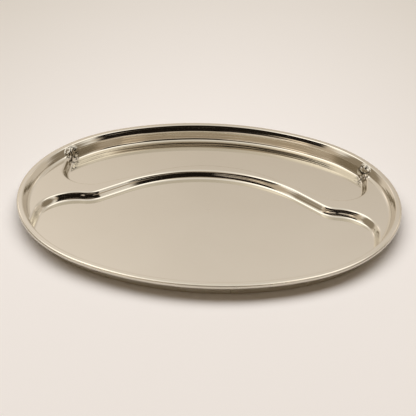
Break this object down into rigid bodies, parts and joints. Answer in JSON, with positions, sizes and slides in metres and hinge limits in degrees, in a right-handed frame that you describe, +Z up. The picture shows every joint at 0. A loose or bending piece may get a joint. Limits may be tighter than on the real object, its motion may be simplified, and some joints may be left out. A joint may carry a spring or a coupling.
{
  "type": "thali plate",
  "caption": "Oval pressed steel thali plate with a large front well, a crescent well along the back, a raised ledge between them and a rolled wired edge.",
  "frame": {"origin": "centre of the oval plan, on the face the plate rests on", "axes": "+X along the plate's length, +Y towards the crescent well, +Z up"},
  "size_m": [0.34, 0.282, 0.0152],
  "materials": {
    "polished_sheet": "mirror-polished stainless steel",
    "drawn_wire": "drawn steel wire"
  },
  "bodies": {
    "root": {"plate_pressing": "polished_sheet", "rim_wire": "drawn_wire"}
  },
  "joints": []
}
